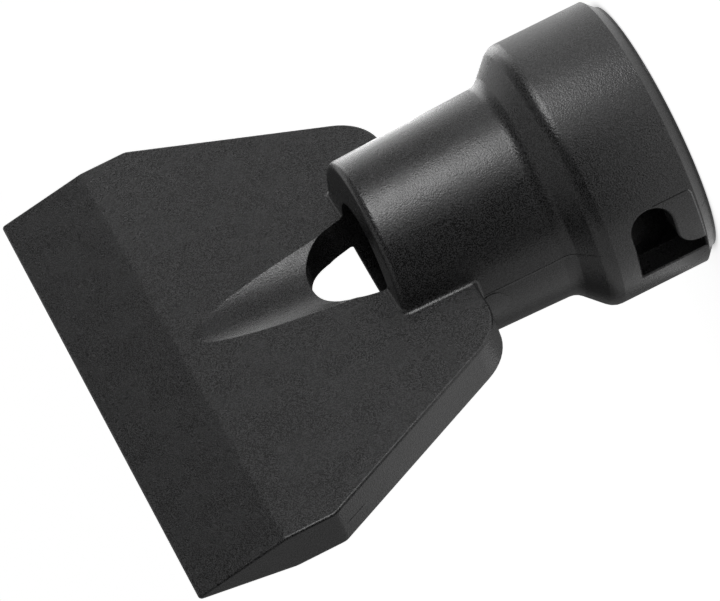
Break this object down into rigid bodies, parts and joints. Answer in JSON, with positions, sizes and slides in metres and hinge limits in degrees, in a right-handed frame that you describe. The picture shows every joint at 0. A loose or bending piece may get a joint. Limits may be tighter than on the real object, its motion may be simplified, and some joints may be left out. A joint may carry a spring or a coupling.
{
  "type": "vacuum scraper nozzle",
  "caption": "Flat scraper blade moulded in one with a suction tube and a bayonet socket; grooves and a hole behind the scraping edge draw loosened dirt into the tube.",
  "frame": {"origin": "centre of the socket's rim, on which the part stands", "axes": "+Z along the tube axis from the socket's rim up to the scraping edge, X across the blade, Y through the blade's thickness"},
  "size_m": [0.0966, 0.044, 0.0948],
  "materials": {
    "plastic": "fine matt grain, charcoal black"
  },
  "bodies": {
    "root": {"scraper_nozzle": "plastic"}
  },
  "joints": []
}
